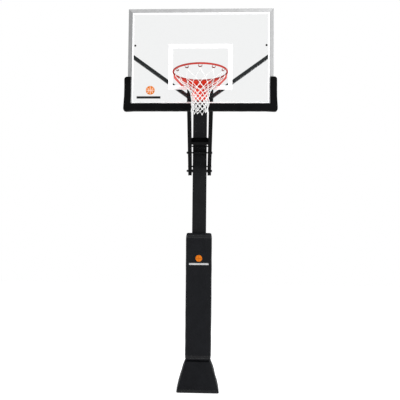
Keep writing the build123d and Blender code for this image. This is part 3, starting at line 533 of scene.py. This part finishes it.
pad_low, pad_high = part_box("pole_pad")
PAD_HALF = pad_high.x - 0.003
PAD_INNER = POLE_HALF + 0.0012
PAD_CORNER, PAD_COLUMNS = 0.024, (14, 5)
TOP_ROUND, FOOT_ROUND = 0.016, 0.014
LOOSE, EDGE_PIN, HELD = 0.0, 0.6, 1.0  # how firmly a row is pinned while the cloth swells
SWELL_CAP = 0.006
BEND = (0.45, 0.9, 1.35)
pad_rings = [(z, PAD_HALF, PAD_CORNER, LOOSE)
             for z in even(pad_low.z + FOOT_ROUND, pad_high.z - TOP_ROUND, 66)]
pad_rings += [(pad_high.z - TOP_ROUND + TOP_ROUND * math.sin(a),
               PAD_HALF - TOP_ROUND + TOP_ROUND * math.cos(a), 0.022, EDGE_PIN) for a in BEND]
pad_rings += [(pad_high.z, half, 0.014, HELD) for half in (0.112, 0.096, 0.082)]
pad_rings += [(z, PAD_INNER, 0.008, HELD)
              for z in even(pad_high.z - 0.006, pad_low.z + 0.006, 20)]
pad_rings += [(pad_low.z, half, 0.014, HELD) for half in (0.082, 0.096, 0.112)]
pad_rings += [(pad_low.z + FOOT_ROUND - FOOT_ROUND * math.sin(a),
               PAD_HALF - FOOT_ROUND + FOOT_ROUND * math.cos(a), 0.022, EDGE_PIN)
              for a in reversed(BEND)]
pole_pad = sleeve("pole_pad_skin", pad_rings, *PAD_COLUMNS, "pole", "pad_vinyl")
inflate(pole_pad, 3.0, SWELL_CAP)
ripple(pole_pad, 0.0022, 9.0, lambda p: 1.0 if outside(p, 0.12) else 0.0)
ripple(pole_pad, 0.0016, 38.0,
       lambda p: max(0.0, 1 - (pad_high.z - p.z) / 0.12) if outside(p, 0.12) else 0.0)
pole_pad.modifiers.new("fine", "SUBSURF").levels = 1
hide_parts("pole_pad")

pad_tree = surface_of(pole_pad)
HEM = 0.034
HEM_THICK, FLAP_THICK, THREAD_LIFT = 0.0016, 0.0020, 0.0014
FLAP = (-0.046, 0.046)
FLAP_SEAMS = (FLAP[0] + 0.006, FLAP[1] - 0.006)
hems = [pad_high.z - 0.024 - HEM, pad_low.z + 0.022]
for place, base in zip(("upper", "lower"), hems):
    drape(f"pole_pad_hem_{place}", pad_tree, [inward_loop(z) for z in even(base, base + HEM, 5)],
          HEM_THICK, "pole", "pad_vinyl", webbing, wrap=True)
flap_ends = (hems[1] + HEM + 0.008, hems[0] - 0.008)
drape("pole_pad_flap", pad_tree,
      [[((x, 1, z), (0, -1, 0)) for x in even(*FLAP, 7)] for z in even(*flap_ends, 90)],
      FLAP_THICK, "pole", "pad_vinyl")
stitches("pole_pad_stitches", pad_tree,
         [run for base in hems for z in (base + 0.005, base + HEM - 0.005)
          for run in round_runs(PAD_HALF - 0.026, z)]
         + [((x, 1, flap_ends[0] + 0.01), (x, 1, flap_ends[1] - 0.01), (0, -1, 0))
            for x in FLAP_SEAMS], "pole", THREAD_LIFT)

COVER_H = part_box("base_cover")[1].z
COVER_FOOT, COVER_NECK = 0.2275, 0.1375
INNER_FOOT, INNER_NECK = 0.204, 0.080


def cover_half(z):
    """Outer half width of the flared cover at a height."""
    return COVER_FOOT + (COVER_NECK - COVER_FOOT) * z / COVER_H


cover_rings = [(z, cover_half(z), 0.018, LOOSE if 0.03 < z < COVER_H - 0.03 else EDGE_PIN)
               for z in even(0.010, COVER_H - 0.010, 20)]
cover_rings += [(COVER_H - 0.002, cover_half(COVER_H) - 0.006, 0.016, HELD)]
cover_rings += [(COVER_H, half, 0.012, HELD) for half in (0.112, 0.092)]
cover_rings += [(z, INNER_NECK + (INNER_FOOT - INNER_NECK) * (COVER_H - z) / COVER_H, 0.008, HELD)
                for z in even(COVER_H - 0.004, 0.004, 12)]
cover_rings += [(0.0006, 0.212, 0.012, HELD), (0.002, cover_half(0) - 0.004, 0.016, HELD)]
base_skin = sleeve("base_cover_skin", cover_rings, 16, 4, "pole", "pad_vinyl")
inflate(base_skin, 3.0, SWELL_CAP)
ripple(base_skin, 0.003, 11.0, lambda p: min(1.0, p.z / 0.06) if outside(p, 0.13) else 0.0)
base_skin.modifiers.new("fine", "SUBSURF").levels = 1
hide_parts("base_cover")

cover_tree = surface_of(base_skin)
drape("base_cover_hem", cover_tree, [inward_loop(z) for z in even(0.008, 0.036, 4)],
      HEM_THICK, "pole", "pad_vinyl", webbing, wrap=True)
drape("base_cover_flap", cover_tree,
      [[((x, 1, z), (0, -1, 0)) for x in even(*FLAP, 7)]
       for z in even(0.044, COVER_H - 0.022, 24)],
      FLAP_THICK, "pole", "pad_vinyl")
piping = []
for side in range(4):
    a = math.pi / 4 + side * math.pi / 2
    c, s = math.cos(a), math.sin(a)
    piping.append([cover_tree.ray_cast(Vector((c, s, z)), Vector((-c, -s, 0)))[0]
                   for z in even(0.010, COVER_H - 0.016, 12)])
cords("base_cover_piping", piping, 0.0034, "pole", "pad_vinyl", webbing, sides=2)
stitches("base_cover_stitches", cover_tree,
         round_runs(0.190, 0.031) + [((x, 1, 0.052), (x, 1, COVER_H - 0.03), (0, -1, 0))
                                     for x in FLAP_SEAMS], "pole", THREAD_LIFT)

# edge pad: sharp corners melt into soft radii, the lower corners flare, the front lip rises
FLARE_BELOW, FLARE_HEIGHT = 2.93, 0.10
FLARE_PAST, FLARE_WIDTH = 0.62, 0.09
FLARE_OUT, FLARE_DOWN = 0.007, 0.005
LIP_END, LIP_LOW, LIP_HIGH, LIP_RISE = 0.653, 2.845, 2.870, 0.006
edge_pad = add("edge_pad_moulding", nodes["edge_pad"].data.copy(), "board", "edge_foam")
remesh = edge_pad.modifiers.new("skin", "REMESH")
remesh.mode = "VOXEL"
remesh.voxel_size = 0.0045
soften = edge_pad.modifiers.new("soften", "SMOOTH")
soften.factor = 0.5
soften.iterations = 5
edge_pad.data = evaluated(edge_pad)
edge_pad.modifiers.clear()
for face in edge_pad.data.polygons:
    face.use_smooth = True
for vertex in edge_pad.data.vertices:
    flare = (share(FLARE_BELOW - vertex.co.z, FLARE_HEIGHT)
             * share(abs(vertex.co.x) - FLARE_PAST, FLARE_WIDTH))
    vertex.co.x += math.copysign(FLARE_OUT, vertex.co.x) * flare
    vertex.co.z -= FLARE_DOWN * flare
    if abs(vertex.co.x) < LIP_END and LIP_LOW < vertex.co.z < LIP_HIGH:
        vertex.co.z += LIP_RISE * share(vertex.co.z - LIP_LOW, 0.010)
ripple(edge_pad, 0.0012, 14.0, lambda p: 1.0)
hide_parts("edge_pad")

# ---------------------------------------------------------------- breakaway springs
spring_coils = bpy.data.objects.new("rim_spring_coils", nodes["rim_springs"].data.copy())
bpy.context.collection.objects.link(spring_coils)
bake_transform(spring_coils)
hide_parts("rim_springs")

# ---------------------------------------------------------------- net and its hooks
HOOKS = 12


def round_ring(angle, radius, z, side=0.0):
    """A point by its angle round the ring, distance from the ring's axis and sideways shift."""
    c, s = math.cos(angle), math.sin(angle)
    return Vector((radius * c - side * s, RING_Y + radius * s + side * c, z))


HOOK_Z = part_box("net_hooks")[0].z + 0.010
HOOK_R, HOOK_LEG = 0.2215, 0.015
UNDER_RING = RING_Z - RING_ROD * 0.75
# half of a hook's wire, from its weld to the middle: distance out, height, side, thickness
HOOK_HALF = [(RING_R - 0.002, UNDER_RING + 0.001, HOOK_LEG, 0.55),
             (RING_R - 0.004, UNDER_RING - 0.006, HOOK_LEG, 0.55),
             (0.2270, HOOK_Z + 0.006, 0.0160, 0.7), (HOOK_R + 0.001, HOOK_Z + 0.001, 0.0125, 1.4),
             (HOOK_R, HOOK_Z, 0.0040, 1.6)]
HOOK_PATH = [(r, z, -side, size) for r, z, side, size in HOOK_HALF] + HOOK_HALF[::-1]
hook_wires = []
hook_welds = []
for index in range(HOOKS):
    angle = math.tau * index / HOOKS
    hook_wires.append([(*round_ring(angle, r, z, side), size) for r, z, side, size in HOOK_PATH])
    for side in (-HOOK_LEG, HOOK_LEG):
        hook_welds.append([(*round_ring(angle, RING_R - 0.003, UNDER_RING + shift, side), size)
                           for shift, size in ((-0.002, 0.5), (0.0005, 1.15), (0.003, 0.9))])
hook_loops = cords("net_hook_wires", hook_wires, 0.0030, "rim", "hook_steel")
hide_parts("net_hooks")
cords("net_hook_welds", hook_welds, 0.0036, "rim", "rim_red")

# rows of knots: height and distance from the ring's axis
LEVELS = [(3.0040, 0.2190), (2.9540, 0.1660), (2.9160, 0.1270), (2.8850, 0.1000), (2.8580, 0.0840),
          (2.8330, 0.0790), (2.8090, 0.0772), (2.7855, 0.0755), (2.7620, 0.0738), (2.7385, 0.0726),
          (2.7150, 0.0726), (2.6915, 0.0740)]
LAST = len(LEVELS) - 1
knots = {}
for level, (z, radius) in enumerate(LEVELS):
    for spot in range(level % 2, 2 * HOOKS, 2):
        angle = math.tau * spot / (2 * HOOKS)
        loose = min(level, 4) / 4
        wild = 1.0 + 0.9 * max(0.0, math.cos(angle)) * (level > 4)
        angle += math.radians(rng.uniform(-2.6, 2.6)) * loose * wild
        radius_here = radius + rng.uniform(-0.004, 0.004) * loose * wild
        drop = rng.uniform(-0.005, 0.005) * loose * wild
        if level == LAST:
            drop -= 0.006 * (spot % 4 == 1)
        knots[level, spot] = (angle, radius_here, z + drop)

strands = []
for way in (-1, 1):
    for start in range(HOOKS):
        path = []
        for level in range(len(LEVELS)):
            angle, radius, z = knots[level, (2 * start + way * level) % (2 * HOOKS)]
            here = round_ring(angle, radius + way * 0.0014, z)
            if path:
                sag = Vector((rng.uniform(-1, 1), rng.uniform(-1, 1), 0)) * 0.0013
                sag -= Vector((0, 0, 0.0022))
                path.append((path[-1] + here) / 2 + sag)
            else:
                path.append(round_ring(angle, radius + 0.0066, HOOK_Z + 0.0035, way * 0.002))
                path.append(round_ring(angle, radius - 0.0052, HOOK_Z + 0.0045, way * 0.003))
            path.append(here)
        tail = path[-1] + Vector((rng.uniform(-1, 1) * 0.003, rng.uniform(-1, 1) * 0.003, -0.004))
        strands.append(path + [tail])
net_cords = cords("net_cords", strands, 0.0024, "rim", "net_nylon", sides=2)

tied = []
for (level, spot), (angle, radius, z) in knots.items():
    if level == 0:
        continue
    turn = rng.uniform(0, math.tau)
    size = 0.0021 * rng.uniform(0.9, 1.15)
    loop = []
    for i in range(12):
        t = math.tau * i / 12
        a = size * (math.sin(t + turn) + 1.6 * math.sin(2 * t + turn))
        b = size * (math.cos(t + turn) - 1.6 * math.cos(2 * t + turn))
        loop.append(round_ring(angle, radius + 0.0016 * math.sin(3 * t), z + b, a))
    tied.append(loop)
cords("net_knots", tied, 0.0020, "rim", "net_nylon", closed=True, sides=1, steps=2)
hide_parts("net")

# ---------------------------------------------------------------- printed lines and marks
PRINT_Y = FACE_Y - 0.0005
TARGET_X, TARGET_GAP = 0.3015, 0.0815  # half its width, and half the gap in its lower line
TARGET = (2.997, 3.433)
LINE = 0.040
BORDER = (2.8605, 3.7375)
BORDER_OUT, BORDER_IN = 0.6485, 0.635
BORDER_TOP, BORDER_FOOT = 0.016, 0.018


def strip(bm, x0, x1, z0, z1):
    prism(bm, [(x0, z0), (x1, z0), (x1, z1), (x0, z1)], FACE_Y, PRINT_Y, on_board)


bm = bmesh.new()
inner_x = TARGET_X - LINE
for side in (-1, 1):
    strip(bm, *sorted((side * BORDER_OUT, side * BORDER_IN)), *BORDER)
    strip(bm, *sorted((side * TARGET_X, side * inner_x)), *TARGET)
    strip(bm, *sorted((side * TARGET_GAP, side * inner_x)), TARGET[0], TARGET[0] + LINE)
strip(bm, -BORDER_IN, BORDER_IN, BORDER[1] - BORDER_TOP, BORDER[1])
strip(bm, -BORDER_IN, BORDER_IN, BORDER[0], BORDER[0] + BORDER_FOOT)
strip(bm, -inner_x, inner_x, TARGET[1] - LINE, TARGET[1])
add("board_lines", mesh_of(bm, "board_lines"), "board", "net_nylon", line_white, smooth=False)


def arc_band(bm, centre, radius, width, start, end, depth_a, depth_b, place):
    """A flat curved band in the sketch plane, from one angle to another."""
    angles = even(start, end, 20)
    sweep = [(radius + width / 2, a) for a in angles]
    sweep += [(radius - width / 2, a) for a in reversed(angles)]
    prism(bm, [(centre[0] + r * math.cos(a), centre[1] + r * math.sin(a)) for r, a in sweep],
          depth_a, depth_b, place)


def ball_seams(bm, centre, radius, depth_a, depth_b, place):
    """The four seams of a plain ball, cut square at its rim."""
    width = radius * 0.085
    for across in (-1, 1):
        middle = (centre[0] + across * radius * 1.30, centre[1])
        facing = math.pi if across > 0 else 0.0
        arc_band(bm, middle, radius * 0.88, width, facing - 0.80, facing + 0.80, depth_a, depth_b,
                 place)
    half = width / 2
    for x, z in ((radius, half), (half, radius)):
        prism(bm, [(centre[0] + i * x, centre[1] + j * z)
                   for i, j in ((-1, -1), (1, -1), (1, 1), (-1, 1))], depth_a, depth_b, place)


MARK = (-0.4715, 2.990)
bm = bmesh.new()
prism(bm, disc(0.042, 40, MARK), FACE_Y, PRINT_Y, on_board)
add("board_ball_mark", mesh_of(bm, "board_ball_mark"), "board", "rim_red", mark_orange,
    smooth=False)
bm = bmesh.new()
ball_seams(bm, MARK, 0.038, PRINT_Y, PRINT_Y - 0.0003, on_board)
add("board_ball_seams", mesh_of(bm, "board_ball_seams"), "board", "net_nylon", line_white,
    smooth=False)
bm = bmesh.new()
strip(bm, -0.600, -0.374, 2.911, 2.933)
add("board_bar_mark", mesh_of(bm, "board_bar_mark"), "board", "gasket_rubber", mark_black,
    smooth=False)

# the pole pad's printed mark follows the swollen vinyl
PAD_MARK = (0.0, 1.4150)


def round_patch(centre, radius):
    """Rays towards the pad's front over a disc, as a square grid bent round."""
    steps = even(-1, 1, 9)
    return [[((centre[0] + radius * u * math.sqrt(1 - v * v / 2), -1,
               centre[1] + radius * v * math.sqrt(1 - u * u / 2)), (0, 1, 0)) for u in steps]
            for v in steps]


def flat_patch(x0, x1, z0, z1, columns, rows):
    """Rays towards the pad's front over a rectangle."""
    return [[((x, -1, z), (0, 1, 0)) for x in even(x0, x1, columns)] for z in even(z0, z1, rows)]


SEAM, SEAM_REACH = 0.0016, 0.033
mark_z = PAD_MARK[1]
drape("pad_ball_mark", pad_tree, round_patch(PAD_MARK, 0.036), 0.0008, "pole", "rim_red",
      mark_orange)
drape("pad_seam_upright", pad_tree,
      flat_patch(-SEAM, SEAM, mark_z - SEAM_REACH, mark_z + SEAM_REACH, 3, 10),
      0.0013, "pole", "pad_vinyl")
drape("pad_seam_level", pad_tree,
      flat_patch(-SEAM_REACH, SEAM_REACH, mark_z - SEAM, mark_z + SEAM, 10, 3),
      0.0013, "pole", "pad_vinyl")
drape("pad_bar_mark", pad_tree, flat_patch(-0.105, 0.105, 1.3440, 1.3640, 22, 4), 0.0008, "pole",
      "net_nylon", mark_grey)


# ---------------------------------------------------------------- caps, screws and welds
def heads(name, spots, toward, radius, height, body, slot, socket=True):
    """Domed screw heads or plugs: lathed about each spot, standing out along a direction."""
    toward = Vector(toward).normalized()
    side = toward.orthogonal().normalized()
    up = toward.cross(side)
    outline = [(1.0, -0.3), (1.0, 0.35), (0.93, 0.72), (0.76, 0.95), (0.5, 1.0)]
    outline += [(0.46, 1.0), (0.44, 0.35)] if socket else [(0.2, 1.03)]
    bm = bmesh.new()
    for spot in spots:
        loops = []
        for share, rise in outline:
            sharp = socket and share < 0.48
            loops.append([bm.verts.new(
                Vector(spot) + toward * height * rise
                + (side * math.cos(t) + up * math.sin(t)) * radius * share
                * (0.93 + 0.07 * math.cos(6 * t) if sharp else 1.0))
                for t in (math.tau * i / 24 for i in range(24))])
        for a, b in zip(loops, loops[1:]):
            for j in range(24):
                k = (j + 1) % 24
                bm.faces.new((a[j], a[k], b[k], b[j]))
        bm.faces.new(loops[0])
        bm.faces.new(list(reversed(loops[-1])))
    return add(name, mesh_of(bm, name), body, slot)


def weld(name, paths, radius, body, slot):
    """Fillet weld beads: short overlapping puddles along each path."""
    beads = []
    for start, end in paths:
        start, end = Vector(start), Vector(end)
        count = max(8, int((end - start).length / 0.0035))
        beads.append([(*start.lerp(end, i / count), 1.0 + 0.22 * (i % 2) + rng.uniform(-0.12, 0.12))
                      for i in range(count + 1)])
    return cords(name, beads, radius, body, slot, sides=1, steps=2)


rail = {side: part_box(f"frame_rail_{side}") for side in ("right", "top", "bottom")}
rail_back = rail["top"][1].y
SCREW_INSET, SCREW_PITCH = 0.018, 0.036
corners = []
for side in (-1, 1):
    edge = side * (rail["right"][1].x - SCREW_INSET)
    for high, step in ((rail["top"][1].z - SCREW_INSET, -SCREW_PITCH),
                       (rail["bottom"][0].z + SCREW_INSET, SCREW_PITCH)):
        corners += [(edge, rail_back, high), (edge - side * SCREW_PITCH, rail_back, high),
                    (edge, rail_back, high + step)]
heads("rail_corner_screws", corners, (0, 1, 0), 0.0052, 0.0028, "board", "black_zinc")
heads("board_caps", [(side * 0.620, FACE_Y, 3.421) for side in (-1, 1)], (0, -1, 0), 0.0098,
      0.0038, "board", "gasket_rubber", socket=False)

gear_low, gear_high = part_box("gearbox_cover")
GEAR_INSET, BOSS_DEPTH = 0.010, 0.010  # screws in from the cover's edges, and behind its boss
heads("gearbox_screws", [(side * (gear_high.x - GEAR_INSET), gear_high.y - BOSS_DEPTH, z)
                         for side in (-1, 1)
                         for z in (gear_low.z + GEAR_INSET, gear_high.z - GEAR_INSET)],
      (0, 1, 0), 0.0048, 0.0032, "pole", "black_zinc")

# beads above and below the upper pivot's sleeve, where it meets its doubler plate
DOUBLER_THICK, WELD_OUT = 0.003, 0.0006
PIVOT_Z, WELD_UP, WELD_REACH = 2.570, 0.0085, 0.070
bead_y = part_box("upper_pivot_sleeve")[1].y - DOUBLER_THICK - WELD_OUT
weld("sleeve_welds", [[(x, bead_y, PIVOT_Z + side * WELD_UP) for x in (-WELD_REACH, WELD_REACH)]
                      for side in (-1, 1)], 0.0022, "pole", "pole_steel")

# ---------------------------------------------------------------- camera, light and floor
camera_data = bpy.data.cameras.new("camera")
camera = bpy.data.objects.new("camera", camera_data)
bpy.context.collection.objects.link(camera)
camera.location = (0.013, -6.531, 1.376)
camera.rotation_euler = (math.radians(90 + 3.22), math.radians(-0.68), math.radians(2.5))
camera_data.lens = 53.37
camera_data.sensor_width = 36
camera_data.shift_x = 0.0649
camera_data.shift_y = 0.0708
camera_data.clip_end = 200
bpy.context.scene.camera = camera
bpy.context.scene.view_settings.view_transform = "Standard"


def area_light(name, place, target, size, power):
    light = bpy.data.lights.new(name, "AREA")
    light.shape = "RECTANGLE"
    light.size, light.size_y = size
    light.energy = power
    lamp = bpy.data.objects.new(name, light)
    bpy.context.collection.objects.link(lamp)
    lamp.location = place
    lamp.rotation_euler = (Vector(target) - Vector(place)).to_track_quat("-Z", "Y").to_euler()


area_light("key", (3.6, -5.4, 5.0), (0, -0.8, 2.7), (2.4, 2.4), 265)
area_light("fill", (-4.4, -4.6, 2.6), (0, -0.4, 2.4), (2.0, 3.4), 105)
area_light("back", (2.5, 4.5, 4.8), (0, 0, 2.5), (2.6, 2.6), 150)

world = bpy.data.worlds.new("studio")
bpy.context.scene.world = world
world.use_nodes = True
sky = world.node_tree
seen = sky.nodes["Background"]
seen.inputs["Color"].default_value = (1, 1, 1, 1)
seen.inputs["Strength"].default_value = 1.0
soft = sky.nodes.new("ShaderNodeBackground")
soft.inputs["Color"].default_value = (0.93, 0.96, 1.0, 1)
soft.inputs["Strength"].default_value = 0.26
ray = sky.nodes.new("ShaderNodeLightPath")
blend = sky.nodes.new("ShaderNodeMixShader")
sky.links.new(ray.outputs["Is Camera Ray"], blend.inputs["Fac"])
sky.links.new(soft.outputs["Background"], blend.inputs[1])
sky.links.new(seen.outputs["Background"], blend.inputs[2])
sky.links.new(blend.outputs["Shader"], sky.nodes["World Output"].inputs["Surface"])

bm = bmesh.new()
bmesh.ops.create_grid(bm, x_segments=2, y_segments=2, size=30)
floor = bpy.data.objects.new("floor", mesh_of(bm, "floor"))
bpy.context.collection.objects.link(floor)
floor.location.z = -0.0005
floor_nodes = Nodes("floor_pale")
floor_shade = floor_nodes.ramp(floor_nodes.noise(1.5, 4.0), (0.86, 0.86, 0.86), (0.9, 0.9, 0.9))
floor_nodes.link(floor_shade, "Base Color")
floor_nodes.constant(Roughness=0.9, Emission_Color=(1, 1, 1, 1), Emission_Strength=0.80)
floor.data.materials.append(floor_nodes.material)
floor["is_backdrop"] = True

# ---------------------------------------------------------------- bounds of the visible pieces
low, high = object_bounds()
